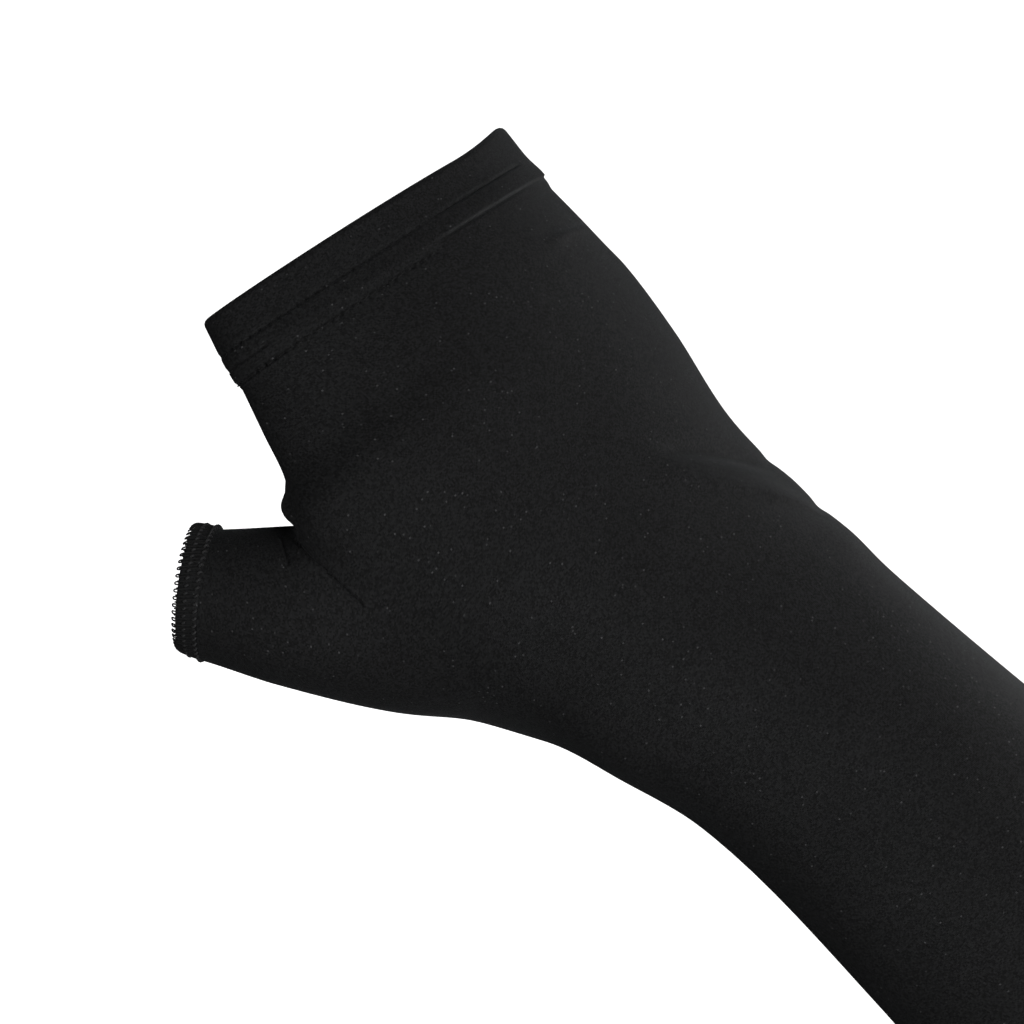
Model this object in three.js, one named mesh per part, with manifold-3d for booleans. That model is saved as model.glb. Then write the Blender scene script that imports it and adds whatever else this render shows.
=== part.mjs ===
// Sun protection arm sleeve with a thumb stall, in the shape it takes on a right arm.
// A stretch knit tube runs from the knuckles over the wrist and elbow to the upper arm. A folded hem
// ends it at the fingers and at the upper arm, and an overlocked edge ends the thumb stall.
// Millimetres. The origin is the middle of the wrist, +X runs up the arm, +Z is the back of the hand
// and -Y is the thumb's side.
import * as THREE from "three";
import { LoftGeometry } from "three/addons/geometries/LoftGeometry.js";
import { mergeVertices } from "three/addons/utils/BufferGeometryUtils.js";
import Module from "manifold-3d";

// Driving dimensions.
const CLOTH = 1.0; // the knit's wall
const HEM_CLOTH = 1.8; // the knit folded on itself
const EDGE_CLOTH = 1.6; // the knit under its overlock threads
const FINGER_END = -87.5; // station of the finger opening's edge
const ARM_END = 385; // station of the upper arm opening's edge
const FINGER_HEM_WIDTH = 11.5;
const ARM_HEM_WIDTH = 20;
const THUMB_EDGE_WIDTH = 4.6;
const BAND_PROUD = 0.3; // how far a hem or the thumb's edge stands out of the tube
const SEAT_GAP = 0.3; // between a hem and the tube that it ends
const CUT_PAST = 4; // how far a hollow runs past the end that it opens

// The limb's sections, by station along the arm: the section's middle, its half breadth, its height
// above and below the middle, how far its sides drop as the hand cups, and how far it leans up the
// arm for each millimetre towards the little finger and towards the back of the hand.
const LIMB = [
  { x: -95, y: 11.8, z: 10.0, half: 36.2, back: 13.0, palm: 11.0, cup: 5.0, lean: 0.16, rake: 0.18 },
  { x: -80, y: 9.4, z: 8.4, half: 37.8, back: 14.2, palm: 12.6, cup: 5.0, lean: 0.16, rake: 0.18 },
  { x: -68, y: 6.6, z: 7.4, half: 40.4, back: 15.4, palm: 14.0, cup: 5.0, lean: 0.14, rake: 0.15 },
  { x: -56, y: 2.2, z: 6.2, half: 45.0, back: 16.2, palm: 15.8, cup: 4.3, lean: 0.1, rake: 0.08 },
  { x: -40, y: 1.4, z: 4.3, half: 41.5, back: 17.5, palm: 18.0, cup: 3.0, lean: 0.05, rake: 0.03 },
  { x: -20, y: -0.6, z: 2.2, half: 36.0, back: 19.0, palm: 20.0, cup: 1.5, lean: 0.0, rake: 0.0 },
  { x: 0, y: 0.8, z: 0.8, half: 33.8, back: 20.5, palm: 20.5, cup: 0.5, lean: 0.0, rake: 0.0 },
  { x: 20, y: 2.4, z: 1.6, half: 30.0, back: 21.5, palm: 21.5, cup: 0.0, lean: 0.0, rake: 0.0 },
  { x: 60, y: 2.4, z: 1.8, half: 31.6, back: 23.5, palm: 24.0, cup: 0.0, lean: 0.0, rake: 0.0 },
  { x: 110, y: 2.0, z: 1.0, half: 36.5, back: 29.0, palm: 31.0, cup: 0.0, lean: 0.0, rake: 0.0 },
  { x: 180, y: 1.0, z: 0.0, half: 43.0, back: 37.0, palm: 39.0, cup: 0.0, lean: 0.0, rake: 0.0 },
  { x: 250, y: 0.0, z: 0.0, half: 42.0, back: 39.0, palm: 40.0, cup: 0.0, lean: 0.0, rake: 0.0 },
  { x: 320, y: 0.0, z: 0.0, half: 43.5, back: 44.0, palm: 44.0, cup: 0.0, lean: 0.0, rake: 0.0 },
  { x: 392, y: 0.0, z: 0.0, half: 47.0, back: 48.0, palm: 48.0, cup: 0.0, lean: 0.0, rake: 0.0 },
];

// The thumb's sections, by distance along the thumb from its opening back to its root in the palm:
// the section's middle and its two half widths.
const THUMB = [
  { back: -8, x: -74.1, y: -50.2, z: -29.2, wide: 10.2, deep: 10.2 },
  { back: 0, x: -67.8, y: -47.4, z: -25.0, wide: 10.2, deep: 10.2 },
  { back: 20, x: -53.5, y: -40.6, z: -16.8, wide: 12.9, deep: 12.6 },
  { back: 40, x: -38.8, y: -30.8, z: -12.5, wide: 15.8, deep: 14.8 },
  { back: 54, x: -29.0, y: -22.6, z: -9.6, wide: 16.2, deep: 15.4 },
  { back: 68, x: -17.6, y: -15.4, z: -7.4, wide: 16.6, deep: 15.8 },
  { back: 86, x: -1.0, y: -7.6, z: -4.0, wide: 14.5, deep: 11.5 },
];

// Wrinkles where the wrist bends: each one's middle by station and by angle round the limb from the
// little finger's side over the back of the hand, the angle it runs at, its half length, half width
// and height.
const WRINKLES = [
  { x: -17, angle: 54, turn: 126, length: 11, width: 2.2, height: -0.7 },
  { x: -11, angle: 50, turn: 127, length: 13, width: 3.2, height: 0.9 },
  { x: -7, angle: 50, turn: 129, length: 18, width: 2.4, height: -1.2 },
];
const WRIST_RADIUS = 26; // turns an angle round the wrist into a distance

// How finely the lofts are cut.
const LIMB_SIDES = 40;
const THUMB_SIDES = 24;
const HAND_STEP = 5;
const WRINKLE_STEP = 3;
const WRINKLE_ZONE = [-30, 20];
const ARM_STEP = 15;
const FINGER_HEM_STEP = 3;
const ARM_HEM_STEP = 10;
const THUMB_EDGE_STEP = 2;
const SAME_POINT = 1e-4; // corners of a loft nearer than this are one corner
const AHEAD = 1; // how far on along the thumb its direction is taken

const UP = new THREE.Vector3(0, 0, 1);

// Smooth columns: the table's values at any place between its rows.
function smoothTable(rows, key) {
  const names = Object.keys(rows[0]);
  const curve = new THREE.CubicInterpolant(
    rows.map((row) => row[key]),
    new Float64Array(rows.flatMap((row) => Object.values(row))),
    names.length,
  );
  return (at) => {
    const values = curve.evaluate(at);
    return Object.fromEntries(names.map((name, i) => [name, values[i]]));
  };
}

const limbAt = smoothTable(LIMB, "x");
const thumbAt = smoothTable(THUMB, "back");

// How far the wrinkles lift the cloth at a station and an angle round the limb.
function wrinkleLift(x, angle) {
  let lift = 0;
  for (const fold of WRINKLES) {
    const turn = THREE.MathUtils.degToRad(fold.turn);
    const up = x - fold.x;
    const round = (angle - THREE.MathUtils.degToRad(fold.angle)) * WRIST_RADIUS;
    const along = up * Math.cos(turn) + round * Math.sin(turn);
    const across = round * Math.cos(turn) - up * Math.sin(turn);
    lift += fold.height * Math.exp(-((along / fold.length) ** 2) - (across / fold.width) ** 2);
  }
  return lift;
}

// One ring of points round a section, from a function of the angle.
function ring(sides, pointAt) {
  return Array.from({ length: sides }, (_, i) => pointAt((i / sides) * 2 * Math.PI));
}

// The limb's ring at a station, taken in by an inset.
function limbRing(x, inset) {
  const s = limbAt(x);
  return ring(LIMB_SIDES, (angle) => {
    const height = Math.sin(angle) > 0 ? s.back : s.palm;
    const normal = new THREE.Vector2(Math.cos(angle) / s.half, Math.sin(angle) / height).normalize();
    const out = wrinkleLift(x, angle) - inset;
    const y = s.half * Math.cos(angle) + normal.x * out;
    const z = height * Math.sin(angle) + normal.y * out - s.cup * Math.cos(angle) ** 2;
    return new THREE.Vector3(x + s.lean * y + s.rake * z, s.y + y, s.z + z);
  });
}

// The thumb's ring at a distance back from its opening, square to the thumb, taken in by an inset.
function thumbRing(back, inset) {
  const s = thumbAt(back);
  const next = thumbAt(back - AHEAD);
  const forward = new THREE.Vector3(next.x - s.x, next.y - s.y, next.z - s.z).normalize();
  const wide = new THREE.Vector3().crossVectors(UP, forward).normalize();
  const deep = new THREE.Vector3().crossVectors(forward, wide);
  return ring(THUMB_SIDES, (angle) =>
    new THREE.Vector3(s.x, s.y, s.z)
      .addScaledVector(wide, (s.wide - inset) * Math.cos(angle))
      .addScaledVector(deep, (s.deep - inset) * Math.sin(angle)),
  );
}

// Evenly spaced places from one end to the other, no further apart than a step.
function places(from, to, step) {
  const count = Math.ceil(Math.abs(to - from) / step);
  return Array.from({ length: count + 1 }, (_, i) => from + ((to - from) * i) / count);
}

// The limb's stations between two ends, closer together where the wrist wrinkles.
function limbStations(from, to) {
  const [first, last] = WRINKLE_ZONE;
  return [
    ...places(from, first, HAND_STEP),
    ...places(first, last, WRINKLE_STEP).slice(1),
    ...places(last, to, ARM_STEP).slice(1),
  ];
}

// A loft through rings, as plain triangles.
function loftThrough(rings, options) {
  return new THREE.BufferGeometry().copy(new LoftGeometry(rings, options));
}

// A loft through rings as a solid with flat ends.
const wasm = await Module();
wasm.setup();
function solidLoft(rings) {
  const loft = loftThrough(rings, { capStart: true, capEnd: true });
  loft.deleteAttribute("normal");
  loft.deleteAttribute("uv");
  const merged = mergeVertices(loft, SAME_POINT);
  return new wasm.Manifold(
    new wasm.Mesh({
      numProp: 3,
      vertProperties: merged.attributes.position.array,
      triVerts: new Uint32Array(merged.index.array),
    }),
  );
}

function geometryOf(solid) {
  const mesh = solid.getMesh();
  const geometry = new THREE.BufferGeometry();
  geometry.setAttribute("position", new THREE.BufferAttribute(mesh.vertProperties, 3));
  geometry.setIndex(new THREE.BufferAttribute(mesh.triVerts, 1));
  geometry.computeVertexNormals();
  return geometry;
}

// A band of cloth round a limb: the loft runs along its outside, over its edge and back inside.
function band(ringAt, stations, wall) {
  const outside = stations.map((at) => ringAt(at, -BAND_PROUD));
  const inside = stations.map((at) => ringAt(at, wall - BAND_PROUD)).reverse();
  return loftThrough([...outside, ...inside, outside[0]]);
}

const knit = new THREE.MeshStandardMaterial({ color: 0x1b1c1d, roughness: 0.85, metalness: 0 });
const thread = new THREE.MeshStandardMaterial({ color: 0x161617, roughness: 0.7, metalness: 0 });

function piece(name, geometry, material) {
  const mesh = new THREE.Mesh(geometry, material);
  mesh.name = name;
  return mesh;
}

// The knit tube with its thumb stall: two lofts joined, and hollowed by the same lofts taken in.
function sleeveTube() {
  const from = FINGER_END + FINGER_HEM_WIDTH + SEAT_GAP;
  const to = ARM_END - ARM_HEM_WIDTH - SEAT_GAP;
  const root = THUMB[THUMB.length - 1].back;
  const tip = THUMB_EDGE_WIDTH + SEAT_GAP;
  const limb = (first, last, inset) =>
    solidLoft(limbStations(first, last).map((x) => limbRing(x, inset)));
  const thumb = (first, last, inset) =>
    solidLoft(places(first, last, HAND_STEP).map((back) => thumbRing(back, inset)));
  const outside = limb(from, to, 0).add(thumb(root, tip, 0));
  const hollow = limb(from - CUT_PAST, to + CUT_PAST, CLOTH).add(thumb(root, tip - CUT_PAST, CLOTH));
  return outside.subtract(hollow);
}

const fingerHemPlaces = places(FINGER_END, FINGER_END + FINGER_HEM_WIDTH, FINGER_HEM_STEP);
const armHemPlaces = places(ARM_END - ARM_HEM_WIDTH, ARM_END, ARM_HEM_STEP);
const thumbEdgePlaces = places(THUMB_EDGE_WIDTH, 0, THUMB_EDGE_STEP);

const sleeve = new THREE.Group();
sleeve.add(
  piece("sleeve_tube", geometryOf(sleeveTube()), knit),
  piece("finger_hem", band(limbRing, fingerHemPlaces, HEM_CLOTH), knit),
  piece("arm_hem", band(limbRing, armHemPlaces, HEM_CLOTH), knit),
  piece("thumb_edge", band(thumbRing, thumbEdgePlaces, EDGE_CLOTH), thread),
);

export default sleeve;
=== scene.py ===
import math

import bmesh
import bpy
import numpy as np
from mathutils import Matrix, Vector


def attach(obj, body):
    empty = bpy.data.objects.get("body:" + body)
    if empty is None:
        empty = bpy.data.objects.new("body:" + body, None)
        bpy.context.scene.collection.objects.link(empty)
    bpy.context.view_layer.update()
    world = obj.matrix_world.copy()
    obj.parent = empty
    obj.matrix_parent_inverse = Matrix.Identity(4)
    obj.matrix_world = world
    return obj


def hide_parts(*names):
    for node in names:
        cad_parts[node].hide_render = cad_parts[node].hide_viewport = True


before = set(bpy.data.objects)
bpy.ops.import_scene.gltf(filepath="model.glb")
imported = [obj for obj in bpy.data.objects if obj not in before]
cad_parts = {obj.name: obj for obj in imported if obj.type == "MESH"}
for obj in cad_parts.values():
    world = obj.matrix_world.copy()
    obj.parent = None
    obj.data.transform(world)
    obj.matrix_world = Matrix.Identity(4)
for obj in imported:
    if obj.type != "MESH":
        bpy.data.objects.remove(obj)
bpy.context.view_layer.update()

# Sleeve tube: one fine nylon and elastane jersey, cut in one with the thumb stall and worn stretched.
# It takes the form of the hand, wrist and arm inside it, creases in the web of the thumb and wrinkles
# where the wrist bends. Lengths in this script are millimetres until a mesh is written.
MM = 0.001
KNIT_WALL = 0.9
# Where the tube ends: its stations at the two hems, and its distance back from the thumb's opening.
TUBE_FINGER_END = -75.7
TUBE_ARM_END = 364.7
TUBE_THUMB_END = 4.9

# Limb sections along the arm: station, middle y and z, half breadth, height at the back and at the
# palm, drop of the sides, lean up the arm per millimetre of breadth and of height.
LIMB = np.array([
    (-95, 11.8, 10.0, 36.2, 13.0, 11.0, 5.0, 0.16, 0.18),
    (-80, 9.4, 8.4, 37.8, 14.2, 12.6, 5.0, 0.16, 0.18),
    (-68, 6.6, 7.4, 40.4, 15.4, 14.0, 5.0, 0.14, 0.15),
    (-62, 4.9, 6.8, 41.9, 15.8, 14.9, 4.7, 0.12, 0.12),
    (-56, 2.0, 6.2, 44.7, 16.2, 15.8, 4.3, 0.10, 0.08),
    (-40, 1.4, 4.3, 41.5, 17.5, 18.0, 3.0, 0.05, 0.03),
    (-20, -0.4, 2.2, 36.3, 19.0, 20.0, 1.5, 0, 0),
    (0, 0.8, 0.8, 33.8, 20.5, 20.5, 0.5, 0, 0),
    (20, 2.4, 1.6, 30.0, 21.5, 21.5, 0, 0, 0),
    (60, 2.4, 1.8, 31.6, 23.5, 24.0, 0, 0, 0),
    (110, 2.0, 1.0, 36.5, 29.0, 31.0, 0, 0, 0),
    (180, 1.0, 0, 43.0, 37.0, 39.0, 0, 0, 0),
    (250, 0, 0, 42.0, 39.0, 40.0, 0, 0, 0),
    (320, 0, 0, 43.5, 44.0, 44.0, 0, 0, 0),
    (392, 0, 0, 47.0, 48.0, 48.0, 0, 0, 0),
])
# Thumb sections, by distance back from its opening: middle x, y and z, half width and half depth.
THUMB = np.array([
    (-8, -74.1, -50.2, -29.2, 10.2, 10.2),
    (0, -67.8, -47.4, -25.0, 10.2, 10.2),
    (20, -53.3, -40.8, -17.0, 13.2, 12.9),
    (40, -38.8, -30.8, -12.5, 15.6, 14.5),
    (54, -29.0, -22.6, -9.6, 16.2, 15.4),
    (68, -17.6, -15.4, -7.4, 16.6, 15.8),
    (86, -1.0, -7.6, -4.0, 14.5, 11.5),
])
# How softly the cloth runs from the thumb to the hand: distance back along the thumb, and radius.
WEB_BLEND = np.array([(10, 2.5), (16, 3.0), (22, 6.0), (30, 9.0), (45, 9.0), (70, 6.0)])
# Wrinkles of the worn cloth: the station and angle where each starts and ends, its half widths towards
# the fingers and towards the arm, and its height. Angles are degrees round the limb from the little
# finger's side over the back of the hand.
WRINKLES = np.array([
    # The bent wrist, on the little finger's side.
    (-26.5, 83, -12.0, 50, 1.6, 1.6, -0.75),
    (-12.0, 48, -11.4, 22, 1.6, 1.6, -0.28),
    (-25.0, 94, -1.0, 51, 3.4, 0.6, 0.75),
    (-6.5, 47, -6.0, 22, 3.0, 3.0, 0.20),
    (-0.6, 49, 0.0, 22, 1.6, 1.6, -0.35),
    (6.0, 62, 8.0, 15, 5.0, 5.0, 0.45),
    # Below the finger hem, on the same side.
    (-69.2, 66, -68.0, 38, 1.4, 1.4, -0.25),
    (-67.2, 66, -65.8, 36, 1.5, 1.1, 0.55),
    # The hand's lip over the web of the thumb.
    (-59.3, 190, -57.7, 203, 1.5, 1.5, 1.50),
])
# The radius by which the wrinkles' angles are taken as distances.
WRIST_RADIUS = 26
# The sharp creases out of the web of the thumb: half width, depth and the points that each runs
# through.
CREASES = (
    (0.34, 0.68, np.array([(-60.1, -40.3, -5.3), (-59.1, -41.3, -4.2), (-56.6, -42.9, -3.0),
                           (-53.6, -43.6, -1.9), (-49.4, -44.0, -1.7), (-45.2, -44.0, -1.7)])),
    (0.40, 0.52, np.array([(-62.1, -39.8, -7.6), (-60.5, -42.1, -6.4), (-58.4, -44.3, -5.8)])),
)
# Rounds in which a point's station on the leaning limb settles, and its place on the cloth, and a
# small number that keeps divisors from zero.
STATION_ROUNDS = 5
CLOTH_ROUNDS = 4
TINY = 1e-6


def between_rows(table, at):
    """A table's columns at any places between its rows, on smooth curves."""
    at = np.clip(np.atleast_1d(np.asarray(at, float)), table[0, 0], table[-1, 0])
    key, values = table[:, 0], table[:, 1:]
    rise = np.diff(values, axis=0) / np.diff(key)[:, None]
    level = np.zeros((1, values.shape[1]))
    slope = np.vstack([level, (rise[1:] + rise[:-1]) / 2, level])
    row = np.clip(np.searchsorted(key, at, side="right") - 1, 0, len(key) - 2)
    span = (key[row + 1] - key[row])[:, None]
    t = (at - key[row])[:, None] / span
    ends = values[row] * (2 * t**3 - 3 * t**2 + 1) + values[row + 1] * (3 * t**2 - 2 * t**3)
    return ends + span * (slope[row] * (t**3 - 2 * t**2 + t) + slope[row + 1] * (t**3 - t**2))


def limb_point(station, angle, out=0.0):
    """Points on the limb's surface, or out from it."""
    mid_y, mid_z, half, back, palm, cup, lean, rake = between_rows(LIMB, station).T
    height = np.where(np.sin(angle) > 0, back, palm)
    normal = np.stack([np.cos(angle) / half, np.sin(angle) / height])
    normal /= np.linalg.norm(normal, axis=0)
    y = half * np.cos(angle) + normal[0] * out
    z = height * np.sin(angle) + normal[1] * out - cup * np.cos(angle) ** 2
    return np.stack([station + lean * y + rake * z, mid_y + y, mid_z + z], axis=-1)


def limb_place(points):
    """The station and angle of points near the limb, and how far outside it they are."""
    station = points[:, 0]
    for _ in range(STATION_ROUNDS):
        mid_y, mid_z, half, back, palm, cup, lean, rake = between_rows(LIMB, station).T
        y = points[:, 1] - mid_y
        z = points[:, 2] - mid_z
        station = points[:, 0] - lean * y - rake * z
    across = y / half
    lift = z + cup * across**2
    height = np.where(lift > 0, back, palm)
    up = lift / height
    size = np.hypot(across, up) + TINY
    steep = np.hypot(across / half, up / height) / size + TINY
    return station, np.arctan2(up, across) % (2 * np.pi), (size - 1) / steep


def thumb_frame(back):
    """The thumb's sections at distances back, with the directions ahead, across and deep."""
    rows = between_rows(THUMB, back)
    step = 0.5
    ahead = between_rows(THUMB, np.asarray(back) - step)[:, :3]
    ahead -= between_rows(THUMB, np.asarray(back) + step)[:, :3]
    ahead /= np.linalg.norm(ahead, axis=1)[:, None]
    wide = np.cross((0.0, 0.0, 1.0), ahead)
    wide /= np.linalg.norm(wide, axis=1)[:, None]
    return rows, ahead, wide, np.cross(ahead, wide)


def thumb_point(back, angle, out=0.0):
    """Points on the thumb's surface, or out from it."""
    rows, _, wide, deep = thumb_frame(back)
    across = (rows[:, 3] + out) * np.cos(angle)
    down = (rows[:, 4] + out) * np.sin(angle)
    return rows[:, :3] + across[:, None] * wide + down[:, None] * deep


def thumb_place(points):
    """The distance back and angle of points near the thumb, and how far outside it they are."""
    line = np.arange(THUMB[0, 0], THUMB[-1, 0] + 1)
    beads = between_rows(THUMB, line)[:, :3]
    near = ((beads**2).sum(1) - 2 * points @ beads.T).argmin(1)
    back = line[near]
    _, ahead, _, _ = thumb_frame(back)
    back = np.clip(back - ((points - beads[near]) * ahead).sum(1), line[0], line[-1])
    rows, ahead, wide, deep = thumb_frame(back)
    gap = points - rows[:, :3]
    across = (gap * wide).sum(1) / rows[:, 3]
    down = (gap * deep).sum(1) / rows[:, 4]
    past = (gap * ahead).sum(1) / rows[:, 4]
    size = np.sqrt(across**2 + down**2 + past**2) + TINY
    steep = np.sqrt((across / rows[:, 3]) ** 2 + (down**2 + past**2) / rows[:, 4] ** 2) / size + TINY
    return back, np.arctan2(down, across) % (2 * np.pi), (size - 1) / steep


def cloth_gap(points):
    """How far points are outside the worn cloth, which bridges softly from thumb to hand."""
    _, _, limb = limb_place(points)
    back, _, thumb = thumb_place(points)
    soft = np.interp(back, WEB_BLEND[:, 0], WEB_BLEND[:, 1])
    meet = np.maximum(soft - abs(limb - thumb), 0) / soft
    return np.minimum(limb, thumb) - meet**2 * soft / 4


def outward(points):
    """The cloth's outward directions, and its gap at the points."""
    nudge = 0.05
    gap = cloth_gap(points)
    slope = np.stack([(cloth_gap(points + step) - gap) / nudge for step in np.eye(3) * nudge], 1)
    return slope, gap


def onto_cloth(points):
    """The points moved to the cloth's surface."""
    for _ in range(CLOTH_ROUNDS):
        slope, gap = outward(points)
        points = points - (gap / (slope**2).sum(1))[:, None] * slope
    return points


def wrinkle_shares(station, angle):
    """The share of each wrinkle's height that each place has, one row for a wrinkle."""
    start, start_turn, end, end_turn, finger_width, arm_width, _ = WRINKLES.T[:, :, None]
    run_up = end - start
    run_round = np.radians(end_turn - start_turn) * WRIST_RADIUS
    up = station - start
    away = ((angle - np.radians(start_turn) + np.pi) % (2 * np.pi) - np.pi) * WRIST_RADIUS
    length = np.hypot(run_up, run_round)
    along = (up * run_up + away * run_round) / length**2
    across = (away * run_up - up * run_round) / length
    width = np.where(across < 0, finger_width, arm_width)
    return np.exp(-((2 * along - 1) ** 4) - (across / width) ** 2)


def crease_gap(points, line):
    """How far each point is from a crease's line."""
    start, run = line[:-1, None], np.diff(line, axis=0)[:, None]
    along = ((points - start) * run).sum(2) / (run**2).sum(2)
    return np.linalg.norm(points - start - np.clip(along, 0, 1)[:, :, None] * run, axis=2).min(0)


def crease_drop(points):
    """How far the creases draw the cloth in."""
    return sum(depth * np.exp(-((crease_gap(points, line) / width) ** 2))
               for width, depth, line in CREASES)


def wrinkle_lift(station, angle):
    """How far the wrinkles lift the cloth."""
    return WRINKLES[:, -1] @ wrinkle_shares(station, angle)


# The tube's net of rings: spokes round the limb, of which two meet the web of the thumb at their shares
# of the way round; where the hand's rings start and end; how many rings each stretch has; and the
# middles that the hand's rings are drawn about, inside the limb and the thumb at once.
SPOKES = 48
WEB_BACK, WEB_PALM = 24, 38
WEB_BACK_SHARE, WEB_PALM_SHARE = 0.495, 0.779
SHARES = np.interp(np.arange(SPOKES), (0, WEB_BACK, WEB_PALM, SPOKES),
                   (0, WEB_BACK_SHARE, WEB_PALM_SHARE, 1))
HAND_START = 20.0
WEB_STATION = -52.0
ARM_RINGS = 17
HAND_RINGS = 17
FINGER_STEPS = 6
STALL_STEPS = 9
NET_LEVELS = 2
MIDDLES = np.array([(-52, -31, -7), (-30, -18, -4), (-10, -8, -2), (0, -3, -0.5), (20, 2.4, 1.6)])
# The chain of edges across the web: its steps, how far ahead of the last ring the web is looked for,
# and at how many places.
WEB_STEPS = 6
WEB_REACH = 25.0
WEB_LOOKS = 101
# A section's rays: how many, how far they reach, and how often each halves its way to the cloth.
RAYS = 720
FAR = 95.0
HALVINGS = 20


def section(station):
    """Points round the cloth in a plane square to the arm, at the spokes' shares of its outline."""
    middle_y, middle_z = between_rows(MIDDLES, station)[0]
    if station > HAND_START:
        middle_y, middle_z = between_rows(LIMB, station)[0, :2]
    middle = np.array([station, middle_y, middle_z])
    turn = np.linspace(0, 2 * np.pi, RAYS + 1)
    ray = np.stack([0 * turn, np.cos(turn), np.sin(turn)], 1)
    near, far = np.zeros(RAYS + 1), np.full(RAYS + 1, FAR)
    for _ in range(HALVINGS):
        reach = (near + far) / 2
        inside = cloth_gap(middle + reach[:, None] * ray) < 0
        near = np.where(inside, reach, near)
        far = np.where(inside, far, reach)
    outline = middle + near[:, None] * ray
    run = np.concatenate([[0], np.cumsum(np.linalg.norm(np.diff(outline, axis=0), axis=1))])
    return np.stack([np.interp(SHARES * run[-1], run, outline[:, i]) for i in range(3)], 1)


def next_loop(bm, loop):
    """Extrudes a loop of edges and gives the new loop."""
    grown = bmesh.ops.extrude_edge_only(bm, edges=loop)["geom"]
    fresh = {v for v in grown if isinstance(v, bmesh.types.BMVert)}
    return [e for e in grown if isinstance(e, bmesh.types.BMEdge) and set(e.verts) <= fresh]


def place_loop(loop, layer, points):
    """Puts the vertices of a loop at the points that their numbers give."""
    for vert in {v for e in loop for v in e.verts}:
        vert.co = Vector(points[vert[layer]]) * MM


def mesh_points(mesh):
    """A mesh's vertices in millimetres."""
    flat = np.empty(len(mesh.vertices) * 3)
    mesh.vertices.foreach_get("co", flat)
    return flat.reshape(-1, 3) / MM


def new_piece(name, mesh, material):
    """A piece of the sleeve that rides on its one body, smooth shaded."""
    piece = bpy.data.objects.new(name, mesh)
    bpy.context.scene.collection.objects.link(piece)
    mesh.materials.clear()
    mesh.materials.append(material)
    mesh.shade_smooth()
    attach(piece, "root")
    return piece


def node(tree, kind, inputs=(), **settings):
    """A shader node with its settings, and its inputs set or linked in order or by name."""
    made = tree.nodes.new(kind)
    for key, value in settings.items():
        setattr(made, key, value)
    for key, value in dict(inputs).items():
        if isinstance(value, bpy.types.NodeSocket):
            tree.links.new(value, made.inputs[key])
        else:
            made.inputs[key].default_value = value
    return made


def calc(tree, operation, first, second=0.0):
    """One arithmetic node's result."""
    return node(tree, "ShaderNodeMath", {0: first, 1: second}, operation=operation).outputs[0]


# The knit's loops: width and length, how finely they stray, how far their legs lean, how much their
# own form counts beside the height that each draws at random, and the relief's strength and depth.
KNIT_WALE = 0.30
KNIT_COURSE = 0.24
STRAY_SCALE = 900.0
LEG_LEAN = 1.3
LOOP_FORM = 0.12
KNIT_RELIEF = 0.4
KNIT_DEPTH = 0.15
# Its tones: the darkest and the lightest loop, broad patches of wear, and loops of lint and painted glint.
YARN_DARK = 0.45
YARN_LIGHT = 1.55
WEAR_SCALE = 60.0
WEAR_DETAIL = 3.0
WEAR_DARK = 0.9
WEAR_LIGHT = 1.1
GLINT_FROM = 0.9955
GLINT_COLOUR = (0.08, 0.08, 0.083, 1)


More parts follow.
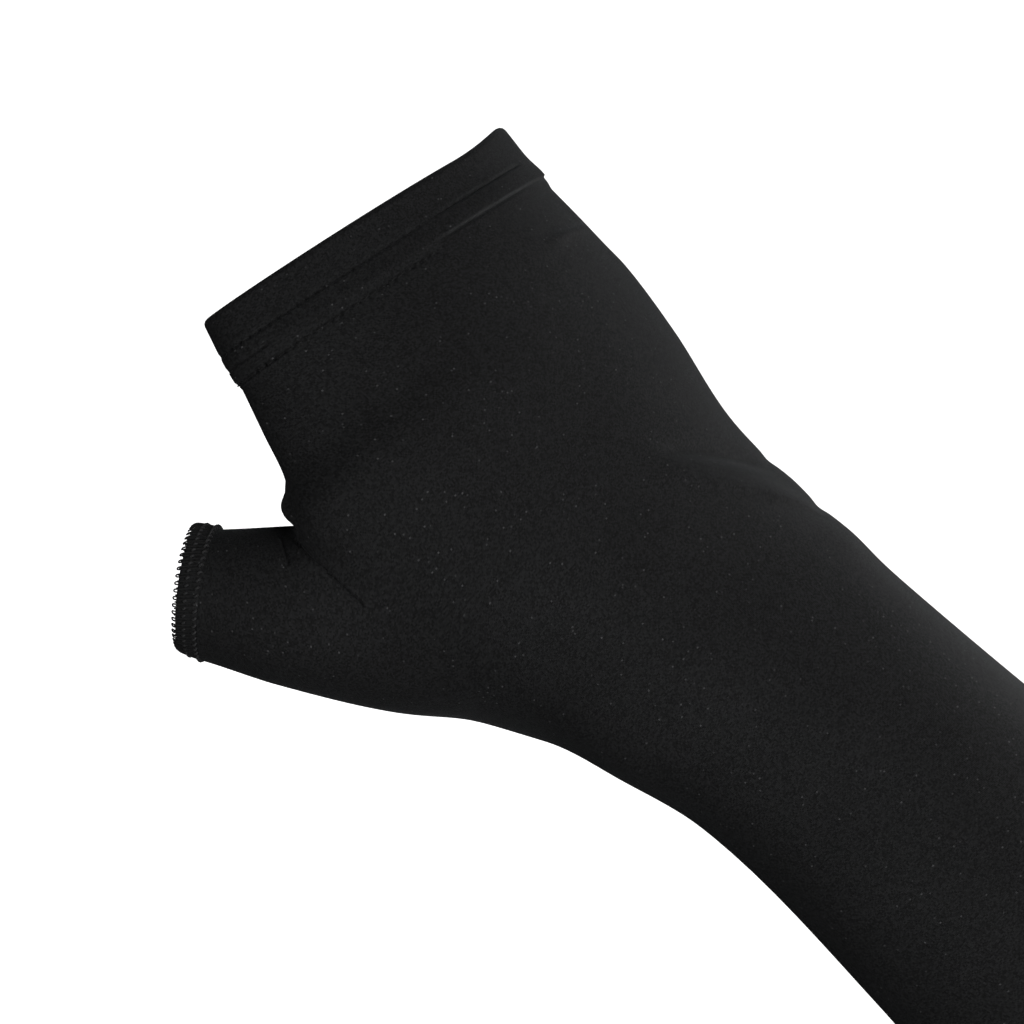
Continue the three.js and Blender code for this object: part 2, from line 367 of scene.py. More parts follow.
def knit_cloth(name, colour):
    """Black jersey: columns of small knit loops along the limb, each loop a little lighter or darker
    than the next, and here and there one painted pale: a speck of lint and a painted glint."""
    material = bpy.data.materials.new(name)
    material.use_nodes = True
    tree = material.node_tree
    shader = tree.nodes["Principled BSDF"]
    place = node(tree, "ShaderNodeTexCoord")
    uv = node(tree, "ShaderNodeSeparateXYZ", {0: place.outputs["UV"]})
    wander = node(tree, "ShaderNodeTexNoise", {"Vector": place.outputs["Object"], "Scale": STRAY_SCALE})
    stray = node(tree, "ShaderNodeSeparateColor", {0: wander.outputs["Color"]})
    wales = calc(tree, "MULTIPLY", uv.outputs["X"], 1 / (KNIT_WALE * MM))
    courses = calc(tree, "MULTIPLY", uv.outputs["Y"], 1 / (KNIT_COURSE * MM))
    column = calc(tree, "ADD", wales, stray.outputs[0])
    row = calc(tree, "ADD", courses, stray.outputs[1])
    side = calc(tree, "ABSOLUTE", calc(tree, "SUBTRACT", calc(tree, "FRACT", column), 0.5))
    lean = calc(tree, "ADD", row, calc(tree, "MULTIPLY", side, LEG_LEAN))
    leg = calc(tree, "SINE", calc(tree, "MULTIPLY", lean, 2 * math.pi))
    rib = calc(tree, "COSINE", calc(tree, "MULTIPLY", side, 2 * math.pi))
    knit = calc(tree, "SUBTRACT", leg, rib)
    loop_place = node(tree, "ShaderNodeCombineXYZ",
                      {0: calc(tree, "FLOOR", column), 1: calc(tree, "FLOOR", row)})
    chance = node(tree, "ShaderNodeTexWhiteNoise", {"Vector": loop_place.outputs[0]}, noise_dimensions="2D")
    height = calc(tree, "ADD", calc(tree, "MULTIPLY", knit, LOOP_FORM), chance.outputs["Value"])
    bump = node(tree, "ShaderNodeBump",
                {"Height": height, "Strength": KNIT_RELIEF, "Distance": KNIT_DEPTH * MM})
    dark = [c * YARN_DARK for c in colour]
    light = [c * YARN_LIGHT for c in colour]
    yarn = node(tree, "ShaderNodeMix", {0: chance.outputs["Value"], 6: (*dark, 1), 7: (*light, 1)},
                data_type="RGBA")
    patches = node(tree, "ShaderNodeTexNoise",
                   {"Vector": place.outputs["Object"], "Scale": WEAR_SCALE, "Detail": WEAR_DETAIL})
    worn = node(tree, "ShaderNodeMapRange",
                {0: patches.outputs["Fac"], 1: 0.3, 2: 0.7, 3: WEAR_DARK, 4: WEAR_LIGHT})
    tone = node(tree, "ShaderNodeMix", {0: 1.0, 6: yarn.outputs[2], 7: worn.outputs[0]}, data_type="RGBA",
                blend_type="MULTIPLY")
    # Painted glints: loops whose random draw passes GLINT_FROM are mixed towards GLINT_COLOUR, partly
    # specks of pale lint and partly painted highlights standing in for the yarn glinting.
    glint = node(tree, "ShaderNodeMapRange",
                 {0: chance.outputs["Value"], 1: GLINT_FROM, 2: 1.0, 3: 0.0, 4: 1.0})
    glinted = node(tree, "ShaderNodeMix", {0: glint.outputs[0], 6: tone.outputs[2], 7: GLINT_COLOUR},
                   data_type="RGBA")
    tree.links.new(glinted.outputs[2], shader.inputs["Base Color"])
    tree.links.new(bump.outputs[0], shader.inputs["Normal"])
    shader.inputs["Roughness"].default_value = 0.78
    shader.inputs["Specular IOR Level"].default_value = 0.16
    shader.inputs["Sheen Weight"].default_value = 0.09
    shader.inputs["Sheen Roughness"].default_value = 0.36
    shader.inputs["Sheen Tint"].default_value = (0.92, 0.96, 1.0, 1)
    return material


stretch_knit = knit_cloth("stretch_knit", (0.0125, 0.0127, 0.0132))

bm = bmesh.new()
spoke = bm.verts.layers.int.new("spoke")
first = bmesh.ops.create_circle(bm, segments=SPOKES, radius=MM)["verts"]
for number, vert in enumerate(first):
    vert[spoke] = number
loop = list(bm.edges)
arm_stations = np.linspace(TUBE_ARM_END, HAND_START, ARM_RINGS)
hand_stations = np.linspace(HAND_START, WEB_STATION, HAND_RINGS)[1:]
place_loop(loop, spoke, section(arm_stations[0]))
for station in (*arm_stations[1:], *hand_stations):
    loop = next_loop(bm, loop)
    place_loop(loop, spoke, section(station))

# Across the web of the thumb a chain of edges parts the last ring into the fingers' and the thumb's.
ends = {v[spoke]: v for e in loop for v in e.verts}
web = [ends[WEB_BACK]]
for step in range(1, WEB_STEPS):
    start = ends[WEB_BACK].co.lerp(ends[WEB_PALM].co, step / WEB_STEPS) / MM
    reach = np.linspace(0, WEB_REACH, WEB_LOOKS)
    way = np.array(start) - reach[:, None] * np.array((1.0, 0.0, 0.0))
    edge = np.argmax(cloth_gap(way) > 0)
    vert = bm.verts.new(Vector(way[edge]) * MM)
    vert[spoke] = SPOKES + step - 1
    web.append(vert)
web.append(ends[WEB_PALM])
chain = [bm.edges.new(pair) for pair in zip(web[:-1], web[1:])]
thumb_spokes = range(WEB_BACK, WEB_PALM + 1)
thumb_loop = [e for e in loop if all(v[spoke] in thumb_spokes for v in e.verts)] + chain
finger_loop = [e for e in loop if e not in thumb_loop] + chain
for branch, where, point_at, end, steps in (
    (finger_loop, limb_place, limb_point, TUBE_FINGER_END, FINGER_STEPS),
    (thumb_loop, thumb_place, thumb_point, TUBE_THUMB_END, STALL_STEPS),
):
    verts = list({v for e in branch for v in e.verts})
    numbers = [v[spoke] for v in verts]
    begin, angle, _ = where(np.array([v.co for v in verts]) / MM)
    for step in range(1, steps + 1):
        branch = next_loop(bm, branch)
        along = begin + (end - begin) * step / steps
        place_loop(branch, spoke, dict(zip(numbers, point_at(along, angle))))
bmesh.ops.recalc_face_normals(bm, faces=bm.faces)
net = bpy.data.meshes.new("sleeve_net")
bm.to_mesh(net)
bm.free()

net_object = bpy.data.objects.new("sleeve_net", net)
bpy.context.scene.collection.objects.link(net_object)
finer = net_object.modifiers.new("finer", "SUBSURF")
finer.levels = NET_LEVELS
finer.render_levels = NET_LEVELS
depsgraph = bpy.context.evaluated_depsgraph_get()
tube_mesh = bpy.data.meshes.new_from_object(net_object.evaluated_get(depsgraph))
bpy.data.objects.remove(net_object)

# The net is laid on the cloth and cut finer in rounds that close in on the creases. The first round
# also takes in the wrinkles, where they have this share of their height, and the second the narrow
# ones. Open edges are marked sharp, so that the wall's rim doesn't shade the cloth.
CREASE_REACH = (3.4, 2.2, 1.4, 0.8)
WRINKLE_REACH = (0.04, 0.25)
NARROW_WIDTH = 1.0
narrow = WRINKLES[:, 4:6].min(1) < NARROW_WIDTH
for number, reach in enumerate(CREASE_REACH):
    points = onto_cloth(mesh_points(tube_mesh))
    tube_mesh.vertices.foreach_set("co", (points * MM).ravel())
    fine = np.min([crease_gap(points, line) for _, _, line in CREASES], axis=0) < reach
    if number < len(WRINKLE_REACH):
        station, angle, _ = limb_place(points)
        shares = wrinkle_shares(station, angle)
        fine |= (shares[narrow] if number else shares).max(0) > WRINKLE_REACH[number]
    bm = bmesh.new()
    bm.from_mesh(tube_mesh)
    bm.verts.ensure_lookup_table()
    near = [e for e in bm.edges if all(fine[v.index] for v in e.verts)]
    bmesh.ops.subdivide_edges(bm, edges=near, cuts=1, use_grid_fill=True)
    for edge in bm.edges:
        edge.smooth = not edge.is_boundary
    bm.to_mesh(tube_mesh)
    bm.free()
points = onto_cloth(mesh_points(tube_mesh))
slope, _ = outward(points)
station, angle, _ = limb_place(points)
points += (wrinkle_lift(station, angle) - crease_drop(points))[:, None] * slope
tube_mesh.vertices.foreach_set("co", (points * MM).ravel())

# The knit's own map, in metres: round the limb or the thumb, and along it.
ARC_STEPS = 24


def length_round(point_at, along, angle):
    """The length of cloth round the limb or the thumb, from its first side to an angle."""
    arc = np.array([point_at(along, angle * share) for share in np.linspace(0, 1, ARC_STEPS + 1)])
    return np.linalg.norm(np.diff(arc, axis=0), axis=2).sum(0)


station, angle, limb_gap = limb_place(points)
back, thumb_angle, thumb_gap = thumb_place(points)
full_turn = np.full(len(points), 2 * np.pi)
limb_map = (angle, station, length_round(limb_point, station, angle),
            length_round(limb_point, station, full_turn))
thumb_map = (thumb_angle, back, length_round(thumb_point, back, thumb_angle),
             length_round(thumb_point, back, full_turn))
knit_map = tube_mesh.uv_layers.new(name="knit")
for face in tube_mesh.polygons:
    corners = np.array(face.vertices)
    on_thumb = thumb_gap[corners].mean() < limb_gap[corners].mean()
    turn, along, run, girth = (column[corners] for column in (thumb_map if on_thumb else limb_map))
    at_seam = np.ptp(turn) > np.pi
    run = run + girth * (at_seam & (turn < np.pi))
    for corner, u, v in zip(face.loop_indices, run, along):
        knit_map.data[corner].uv = (u * MM, v * MM)

sleeve_tube = new_piece("sleeve_tube_cloth", tube_mesh, stretch_knit)
wall = sleeve_tube.modifiers.new("knit_wall", "SOLIDIFY")
wall.thickness = KNIT_WALL * MM
wall.offset = -1
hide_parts("sleeve_tube")

# Finger hem: the same jersey turned in once at the finger opening and topstitched in two rows, so it
# is double as far as the turned layer's raw edge. Worn, it creases along its rows at the thumb's side
# and rolls to a ridge at the little finger's side, where its edge flares.
FINGER_EDGE = -87.5
FINGER_HEM_WIDTH = 12.1
FINGER_STITCHES = 96
SIDES_PER_STITCH = 5
FINGER_ROWS = (6.3, 11.2)
FINGER_STEP = 0.12
# A hem's section: how far it stands proud, where it starts to sink to the tube and how far it laps
# under it, the radius of the fold, and how far the turned layer runs past the hem.
HEM_PROUD = 0.25
HEM_TAPER = 4.5
HEM_LAP = 0.9
HEM_SINK = 0.6
FOLD_RADIUS = 0.9
FOLD_STEPS = 7
RAW_EDGE = 1.3
RAW_ROUND = 0.3
INNER_STEPS = 6
# How deep each needle hole draws a hem in, and how far to each side of its row.
PIT_DEPTH = 0.70
PIT_REACH = 0.34
# Creases and ridges of the worn hem: the angle in degrees and the distance from the edge where each
# starts and ends, half width towards the edge and towards the arm, and height.
FINGER_FOLDS = (
    (46, 6.2, 98, 6.3, 0.45, 0.10, -0.34),
    (26, 9.4, 101, 9.4, 3.40, 0.23, 0.62),
    (26, 9.9, 98, 9.9, 0.12, 0.30, -0.22),
    (96, 9.5, 170, 9.0, 1.30, 0.90, 0.24),
    (96, 6.3, 158, 6.3, 0.50, 0.20, -0.24),
    (150, 6.3, 199, 6.3, 0.45, 0.14, -0.34),
    (154, 8.8, 199, 8.8, 0.45, 0.14, -0.34),
    (148, 11.3, 199, 11.3, 0.45, 0.16, -0.38),
)
# The degrees over which a fold fades at each end, the angles between which the stitches show, and the
# angle over which they fade.
FOLD_FADE = 8.0
STITCHES_FROM = math.radians(94)
STITCHES_TO = math.radians(330)
STITCH_FADE = math.radians(12)
# How far the hem stands proud at the little finger's side and at the thumb's, and the distances from
# the edge between which it comes down to the tube there.
SIDE_PROUD = (0.35, 0.6)
SIDE_SEAT = (10.4, 12.3)
# The flare at the little finger: how far past the edge and how far out, the angle of its middle, its
# spread to each side, and the distance from the edge over which it fades.
FLARE = 1.5
FLARE_OUT = 0.35
FLARE_ANGLE = math.radians(30)
FLARE_SPREAD = math.radians(45)
FLARE_REACH = 5.0


def soft_step(share):
    """A smooth rise from 0 to 1."""
    share = np.clip(share, 0, 1)
    return share * share * (3 - 2 * share)


def finger_hem_place(station, angle, from_edge):
    """The finger hem's stations and lift: flared at the little finger, proud at its sides."""
    aside = abs((angle - FLARE_ANGLE + np.pi) % (2 * np.pi) - np.pi)
    flare = soft_step(1 - aside / FLARE_SPREAD) * math.exp(-((from_edge / FLARE_REACH) ** 2))
    seated = 1 - soft_step((from_edge - SIDE_SEAT[0]) / (SIDE_SEAT[1] - SIDE_SEAT[0]))
    side = np.where(np.cos(angle) > 0, *SIDE_PROUD)
    proud = side * seated * np.cos(angle) ** 2 + FLARE_OUT * flare
    return station - FLARE * flare, proud + wrinkle_lift(station, angle)


def finger_stitch_show(angle):
    """Where the finger hem's stitches show: not at the little finger, where the cloth rolls over them."""
    return soft_step(np.minimum(angle - STITCHES_FROM, STITCHES_TO - angle) / STITCH_FADE)


def fold_lift(folds, angle, from_edge):
    """How far a hem's creases and ridges lift it."""
    lift = np.zeros_like(angle)
    turn = np.degrees(angle)
    for first, near, last, far, edge_width, arm_width, height in folds:
        within = soft_step(np.minimum(turn - first, last - turn) / FOLD_FADE)
        away = from_edge - near - (far - near) * (turn - first) / (last - first)
        width = np.where(away < 0, edge_width, arm_width)
        lift += height * within * np.exp(-((away / width) ** 2))
    return lift


def even_angles(station, shares):
    """The angles at shares of the way round the limb, measured along the cloth."""
    turn = np.linspace(0, 2 * np.pi, RAYS + 1)
    outline = limb_point(np.full(RAYS + 1, station), turn)
    run = np.concatenate([[0], np.cumsum(np.linalg.norm(np.diff(outline, axis=0), axis=1))])
    return np.interp(shares * run[-1], run, turn)


def hem_section(width, step):
    """A hem's section from the tube over the fold and back inside: distance from the edge, out, and
    whether it shows."""
    across = np.arange(width + HEM_LAP, FOLD_RADIUS, -step)
    level = HEM_PROUD * soft_step((width - across) / HEM_TAPER)
    sunk = HEM_SINK * np.maximum((across - width) / HEM_LAP, 0) ** 2
    rows = [(at, out, 1) for at, out in zip(across, level - sunk)]
    for turn in np.linspace(0, np.pi, FOLD_STEPS):
        at = FOLD_RADIUS * (1 - math.sin(turn))
        out = HEM_PROUD - FOLD_RADIUS * (1 - math.cos(turn))
        rows.append((at, out, 0))
    inner = HEM_PROUD - 2 * FOLD_RADIUS
    rows += [(at, inner, 0) for at in np.linspace(FOLD_RADIUS, width + RAW_EDGE, INNER_STEPS)[1:]]
    rows.append((width + RAW_EDGE + RAW_ROUND, inner + RAW_ROUND, 0))
    rows.append((width + RAW_EDGE, inner + 2 * RAW_ROUND, 0))
    return rows


def closed_band(name, rings):
    """A closed band through rings of points, with the knit's map in metres round and across it."""
    bm = bmesh.new()
    bm.verts.layers.int.new("number")
    bm.verts.layers.int.new("row")
    number = bm.verts.layers.int["number"]
    row = bm.verts.layers.int["row"]
    count = len(rings[0])
    first = bmesh.ops.create_circle(bm, segments=count, radius=MM)["verts"]
    for i, vert in enumerate(first):
        vert[number] = i
    start = loop = list(bm.edges)
    place_loop(loop, number, rings[0])
    for i, points in enumerate(rings[1:], 1):
        loop = next_loop(bm, loop)
        place_loop(loop, number, points)
        for vert in {v for e in loop for v in e.verts}:
            vert[row] = i
    bmesh.ops.bridge_loops(bm, edges=start + loop)
    bmesh.ops.recalc_face_normals(bm, faces=bm.faces)
    girth = np.linalg.norm(rings[0] - np.roll(rings[0], 1, axis=0), axis=1).sum() * MM
    steps = [np.linalg.norm(b - a, axis=1).mean() * MM for a, b in zip(rings[:-1], rings[1:])]
    across = np.concatenate([[0], np.cumsum(steps)])
    knit_map = bm.loops.layers.uv.new("knit")
    for face in bm.faces:
        numbers = [corner.vert[number] for corner in face.loops]
        at_seam = max(numbers) - min(numbers) > count / 2
        for corner, i in zip(face.loops, numbers):
            turn = i + count if at_seam and i < count / 2 else i
            corner[knit_map].uv = (turn / count * girth, across[corner.vert[row]])
    mesh = bpy.data.meshes.new(name)
    bm.to_mesh(mesh)
    bm.free()
    return mesh


def hem_band(name, edge, way, section_rows, rows, stitches, sides, hem_place, folds, show):
    """A folded hem round the limb, drawn in at each needle hole of its rows of stitches."""
    count = stitches * sides
    angle = even_angles(edge + way * rows[0], np.arange(count) / count)
    pit = PIT_DEPTH * show(angle) * np.maximum(np.cos(np.arange(count) / sides * 2 * np.pi), 0) ** 2
    rings = []
    for from_edge, out, shown in section_rows:
        station, proud = hem_place(np.full(count, edge + way * from_edge), angle, from_edge)
        holes = sum(math.exp(-(((from_edge - row) / PIT_REACH) ** 2)) for row in rows)
        surface = fold_lift(folds, angle, from_edge) - pit * holes
        rings.append(limb_point(station, angle, out + proud + shown * surface))
    return closed_band(name, rings)


hem_knit = knit_cloth("hem_knit", (0.0115, 0.0117, 0.0122))
finger_mesh = hem_band(
    "finger_hem_cloth", FINGER_EDGE, 1, hem_section(FINGER_HEM_WIDTH, FINGER_STEP), FINGER_ROWS,
    FINGER_STITCHES, SIDES_PER_STITCH, finger_hem_place, FINGER_FOLDS, finger_stitch_show)
finger_hem = new_piece("finger_hem_cloth", finger_mesh, hem_knit)
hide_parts("finger_hem")

# Topstitching: black polyester thread in two rows through both layers of the hem, one short thread
# sunk in the cloth between each pair of needle holes.
THREAD = 0.30
THREAD_SUNK = 0.08
STITCH_SHARE = 0.72
# A thread's plies: how fine they are, the darkest and the lightest, and their relief.
PLY_SCALE = 6000.0
PLY_DETAIL = 2.0
PLY_DARK = 0.6
PLY_LIGHT = 1.5
PLY_RELIEF = 0.5
PLY_DEPTH = 0.1


def thread_material(name, colour, roughness):
    """Black polyester thread: fine plies across it, with a slight gloss."""
    material = bpy.data.materials.new(name)
    material.use_nodes = True
    tree = material.node_tree
    shader = tree.nodes["Principled BSDF"]
    place = node(tree, "ShaderNodeTexCoord")
    fibre = node(tree, "ShaderNodeTexNoise",
                 {"Vector": place.outputs["Object"], "Scale": PLY_SCALE, "Detail": PLY_DETAIL})
    dark = [c * PLY_DARK for c in colour]
    light = [c * PLY_LIGHT for c in colour]
    ply = node(tree, "ShaderNodeMix", {0: fibre.outputs["Fac"], 6: (*dark, 1), 7: (*light, 1)},
               data_type="RGBA")
    bump = node(tree, "ShaderNodeBump",
                {"Height": fibre.outputs["Fac"], "Strength": PLY_RELIEF, "Distance": PLY_DEPTH * MM})
    tree.links.new(ply.outputs[2], shader.inputs["Base Color"])
    tree.links.new(bump.outputs[0], shader.inputs["Normal"])
    shader.inputs["Roughness"].default_value = roughness
    shader.inputs["Specular IOR Level"].default_value = 0.3
    shader.inputs["Sheen Weight"].default_value = 0.05
    return material


def topstitches(name, edge, way, rows, stitches, hem_place, folds, show):
    """Rows of short threads that lie in a hem, each from one needle hole to the next."""
    bm = bmesh.new()
    for row in rows:
        at = edge + way * row
        start, middle, end = (even_angles(at, (np.arange(stitches) + 0.5 + share) / stitches)
                              for share in (-STITCH_SHARE / 2, 0, STITCH_SHARE / 2))
        station, proud = hem_place(np.full(stitches, at), middle, row)
        sunk = THREAD_SUNK + THREAD * (1 - show(middle))
        lift = HEM_PROUD - sunk + proud + fold_lift(folds, middle, row)
        reach = limb_point(station, end, lift) - limb_point(station, start, lift)
        for place, along in zip(limb_point(station, middle, lift), reach):
            turned = Vector(along).to_track_quat("X", "Z").to_matrix().to_4x4()
            size = Matrix.Diagonal((np.linalg.norm(along) / 2, THREAD / 2, THREAD / 2, 1))
            placed = Matrix.Scale(MM, 4) @ Matrix.Translation(Vector(place)) @ turned @ size
            bmesh.ops.create_icosphere(bm, subdivisions=1, radius=1, matrix=placed)
    mesh = bpy.data.meshes.new(name)
    bm.to_mesh(mesh)
    bm.free()
    return mesh


stitch_thread = thread_material("stitch_thread", (0.004, 0.004, 0.0042), roughness=0.85)
finger_stitch_mesh = topstitches("finger_hem_stitches", FINGER_EDGE, 1, FINGER_ROWS, FINGER_STITCHES,
                                 finger_hem_place, FINGER_FOLDS, finger_stitch_show)
finger_stitches = new_piece("finger_hem_stitches", finger_stitch_mesh, stitch_thread)

# Thumb edge: the stall's raw edge, a narrow band of the single jersey that the overlock threads wrap.
# It stands a little proud of the stall because the threads hold it stretched, and slants with the
# thumb.
THUMB_SIDES = 120
# How far the edge rides off the thumb's line and how far it slants, each with its angle round the
# thumb, and the distance back where both begin.
EDGE_RIDE = 0.9
EDGE_RIDE_FROM = 6.0
EDGE_RIDE_ANGLE = math.radians(142)
EDGE_SLANT = 0.3
EDGE_SLANT_ANGLE = math.radians(-45)
# The band's section, outside and then inside: distance back from the opening, and out from the thumb.
THUMB_EDGE = (
    (5.0, -0.30), (4.8, 0.05), (4.3, 0.16), (3.4, 0.20), (2.4, 0.20), (1.8, 0.20), (1.2, 0.16), (0.8, 0.0),
    (0.65, -0.4), (0.85, -0.8), (1.4, -0.95), (2.4, -1.0), (4.6, -1.0), (6.0, -1.25), (6.2, -1.1),
    (5.6, -0.95),
)


def thumb_rim(back, angle, out):
    """Points on the thumb's edge, which slants a little and rides up over the thumb's back."""
    near = np.clip(1 - back / EDGE_RIDE_FROM, 0, 1)
    back = back - EDGE_SLANT * near * np.cos(angle - EDGE_SLANT_ANGLE)
    _, _, wide, deep = thumb_frame(back)
    ride = math.cos(EDGE_RIDE_ANGLE) * wide + math.sin(EDGE_RIDE_ANGLE) * deep
    return thumb_point(back, angle, out) + (EDGE_RIDE * near)[:, None] * ride


thumb_turn = np.arange(THUMB_SIDES) / THUMB_SIDES * 2 * np.pi
thumb_rings = [thumb_rim(np.full(THUMB_SIDES, back), thumb_turn, out) for back, out in THUMB_EDGE]
thumb_edge = new_piece("thumb_edge_cloth", closed_band("thumb_edge_cloth", thumb_rings), hem_knit)
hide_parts("thumb_edge")

# Overlock: four black threads that wrap the thumb's raw edge. Two loopers run slantwise from the needle
# rows to the edge, outside and inside, and turn there in small loops; two needle rows hold them down.
OVERLOCK_STITCHES = 54
LOOPER_THREAD = 0.27
NEEDLE_THREAD = 0.36
# One stitch of each thread: distance from the edge, out from the cloth, and share of the stitch.
OUTER_LOOPER = (
    (4.5, 0.08, 0.95), (3.2, 0.26, 0.68), (1.8, 0.28, 0.38), (0.8, 0.26, 0.14), (0.25, 0.05, 0.08),
    (0.10, -0.25, 0.25), (0.25, -0.05, 0.44), (0.8, 0.26, 0.52), (1.8, 0.24, 0.80), (3.2, 0.20, 1.15),
    (4.5, 0.08, 1.40),
)
INNER_LOOPER = (
    (4.3, -1.15, 0.0), (2.4, -1.3, 0.25), (0.9, -1.2, 0.45), (0.3, -0.7, 0.55), (0.6, -0.45, 0.65),
    (1.0, -1.2, 0.72), (2.6, -1.3, 0.85),
)
OUTER_NEEDLE = (
    (4.0, -0.6, 0.05), (4.15, 0.48, 0.15), (4.6, 0.48, 0.45), (4.75, -0.6, 0.55), (4.4, -0.7, 0.8),
)
INNER_NEEDLE = (
    (2.1, -0.6, 0.05), (2.2, 0.46, 0.15), (2.6, 0.46, 0.42), (2.7, -0.6, 0.52), (2.4, -0.7, 0.8),
)


def threads_round_thumb(name, stitch_paths, count, thickness):
    """Threads that run round the thumb's opening, each one stitch's path repeated on a smooth curve."""
    curve = bpy.data.curves.new(name, "CURVE")
    curve.dimensions = "3D"
    curve.bevel_depth = thickness / 2 * MM
    curve.bevel_resolution = 1
    for stitch in stitch_paths:
        back, out, share = np.tile(np.array(stitch, float), (count, 1)).T
        turn = (np.repeat(np.arange(count), len(stitch)) + share) / count * 2 * np.pi
        path = thumb_rim(back, turn, out) * MM
        spline = curve.splines.new("NURBS")
        spline.points.add(len(path) - 1)
        spline.points.foreach_set("co", np.hstack([path, np.ones((len(path), 1))]).ravel())
        spline.use_cyclic_u = True
        spline.order_u = 3
        spline.resolution_u = 2
    run = bpy.data.objects.new(name, curve)
    bpy.context.scene.collection.objects.link(run)
    mesh = bpy.data.meshes.new_from_object(run.evaluated_get(bpy.context.evaluated_depsgraph_get()))
    bpy.data.objects.remove(run)
    return mesh


looper_thread = thread_material("looper_thread", (0.006, 0.006, 0.0063), roughness=0.7)
# The needle thread's base colour, lighter than the cloth's, is partly its own and partly a painted
# highlight for the gloss on its dashes.
needle_thread = thread_material("needle_thread", (0.028, 0.028, 0.029), roughness=0.4)
looper_mesh = threads_round_thumb("thumb_overlock", (OUTER_LOOPER, INNER_LOOPER), OVERLOCK_STITCHES,
                                  LOOPER_THREAD)
thumb_overlock = new_piece("thumb_overlock", looper_mesh, looper_thread)
needle_mesh = threads_round_thumb("thumb_needle_rows", (OUTER_NEEDLE, INNER_NEEDLE), OVERLOCK_STITCHES,
                                  NEEDLE_THREAD)
thumb_needle_rows = new_piece("thumb_needle_rows", needle_mesh, needle_thread)

# Arm hem: the jersey turned in at the upper arm in a broader fold, topstitched near the turned
# layer's raw edge in two rows. It grips the arm, so its edge is plain.
ARM_EDGE = 385.0
ARM_HEM_WIDTH = 20.6
ARM_STITCHES = 120
ARM_SIDES_PER_STITCH = 4
ARM_ROWS = (15.0, 17.6)
ARM_STEP = 0.4


def arm_hem_place(station, angle, from_edge):
    """The arm hem's stations as they are, level with the tube."""
    return station, np.zeros_like(angle)


arm_mesh = hem_band(
    "arm_hem_cloth", ARM_EDGE, -1, hem_section(ARM_HEM_WIDTH, ARM_STEP), ARM_ROWS, ARM_STITCHES,
    ARM_SIDES_PER_STITCH, arm_hem_place, (), np.ones_like)
arm_hem = new_piece("arm_hem_cloth", arm_mesh, hem_knit)
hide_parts("arm_hem")
arm_stitch_mesh = topstitches("arm_hem_stitches", ARM_EDGE, -1, ARM_ROWS, ARM_STITCHES, arm_hem_place, (),
                              np.ones_like)
arm_stitches = new_piece("arm_hem_stitches", arm_stitch_mesh, stitch_thread)

# Stage: a plain pale floor well below the worn sleeve, and a white surround. The camera sees both, and
# neither lights the cloth.
FLOOR_DROP = 0.45
FLOOR_SIZE = 8.0
bm = bmesh.new()
bmesh.ops.create_grid(bm, x_segments=1, y_segments=1, size=FLOOR_SIZE / 2,
                      matrix=Matrix.Translation((0, 0, -FLOOR_DROP)))
floor_mesh = bpy.data.meshes.new("floor")
bm.to_mesh(floor_mesh)
bm.free()
floor_paint = bpy.data.materials.new("floor_paint")
floor_paint.use_nodes = True
floor_shader = floor_paint.node_tree.nodes["Principled BSDF"]
floor_shader.inputs["Base Color"].default_value = (0.9, 0.9, 0.9, 1)
floor_shader.inputs["Roughness"].default_value = 0.9
floor_shader.inputs["Emission Color"].default_value = (1, 1, 1, 1)
floor_shader.inputs["Emission Strength"].default_value = 0.95
floor = bpy.data.objects.new("floor", floor_mesh)
floor_mesh.materials.append(floor_paint)
floor.visible_diffuse = False
floor.visible_glossy = False
bpy.context.scene.collection.objects.link(floor)

world = bpy.data.worlds.new("studio")
world.use_nodes = True
world.node_tree.nodes["Background"].inputs["Color"].default_value = (1, 1, 1, 1)
world.node_tree.nodes["Background"].inputs["Strength"].default_value = 1.0
world.cycles_visibility.diffuse = False
world.cycles_visibility.glossy = False
bpy.context.scene.world = world
bpy.context.scene.view_settings.view_transform = "Standard"

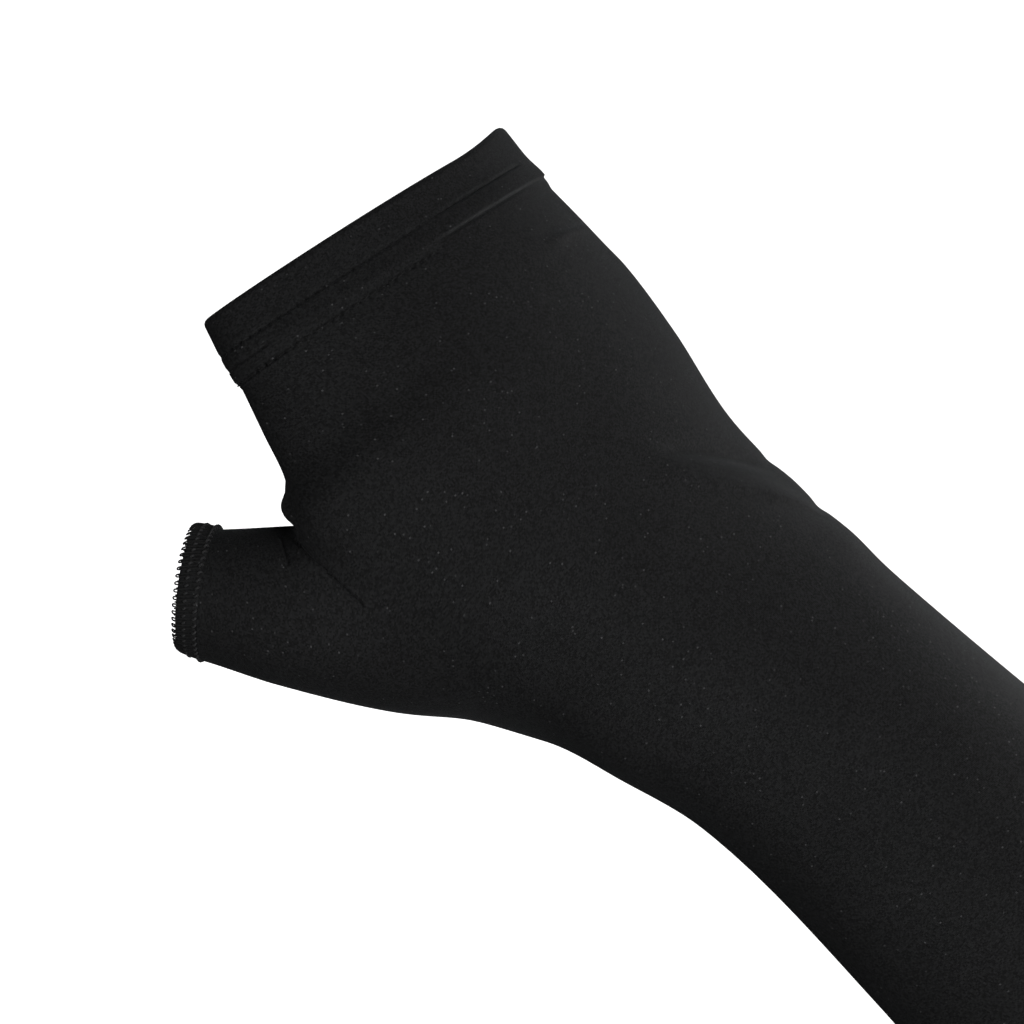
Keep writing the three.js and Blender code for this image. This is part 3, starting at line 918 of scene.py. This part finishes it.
# Camera: above the back of the hand on the thumb's side, rolled so that the arm runs down to the
# right, at the distance and lens of a close studio shot.
VIEW_TILT = math.radians(43)
VIEW_ROLL = math.radians(42.5)
VIEW_DISTANCE = 700.0
MM_PER_PIXEL = 0.165
IMAGE_SIDE = 1024
WRIST_PIXEL = (706, 637)
SENSOR = 36.0
backward = Vector((0, -math.sin(VIEW_TILT), math.cos(VIEW_TILT)))
level_right = Vector((1, 0, 0))
level_up = backward.cross(level_right)
right = level_right * math.cos(VIEW_ROLL) + level_up * math.sin(VIEW_ROLL)
up = level_up * math.cos(VIEW_ROLL) - level_right * math.sin(VIEW_ROLL)
eye = (backward * VIEW_DISTANCE - right * (WRIST_PIXEL[0] - IMAGE_SIDE / 2) * MM_PER_PIXEL
       + up * (WRIST_PIXEL[1] - IMAGE_SIDE / 2) * MM_PER_PIXEL) * MM
camera_data = bpy.data.cameras.new("camera")
camera_data.sensor_width = SENSOR
camera_data.lens = SENSOR * VIEW_DISTANCE / (IMAGE_SIDE * MM_PER_PIXEL)
camera = bpy.data.objects.new("camera", camera_data)
camera.matrix_world = Matrix.Translation(eye) @ Matrix((right, up, backward)).transposed().to_4x4()
bpy.context.scene.collection.objects.link(camera)
bpy.context.scene.camera = camera


# Lights: a small softbox close behind the forearm, one at the little finger's side that brings out the
# folds of the wrist, and two large ones in front. Lengths in metres, power in watts.
def softbox(name, target, direction, distance, side, power):
    """A square light that shines from a direction on a place along the arm."""
    data = bpy.data.lights.new(name, "AREA")
    data.shape = "SQUARE"
    data.size = side
    data.energy = power
    light = bpy.data.objects.new(name, data)
    direction = direction.normalized()
    light.location = Vector((target, 0, 0)) + direction * distance
    light.rotation_euler = direction.to_track_quat("Z", "Y").to_euler()
    bpy.context.scene.collection.objects.link(light)


softbox("key_softbox", target=0.12, direction=right * 0.8 + up * 0.36 - backward * 0.45,
        distance=0.28, side=0.22, power=0.52)
softbox("side_softbox", target=-0.02, direction=right * 0.81 + up * 0.30 - backward * 0.50,
        distance=0.60, side=0.25, power=0.50)
softbox("front_softbox", target=0.0, direction=right * 0.55 + up * 0.1 + backward * 0.8,
        distance=1.6, side=1.4, power=18)
softbox("low_softbox", target=0.0, direction=right * -0.6 - up * 0.5 + backward * 0.6,
        distance=1.6, side=1.8, power=11)
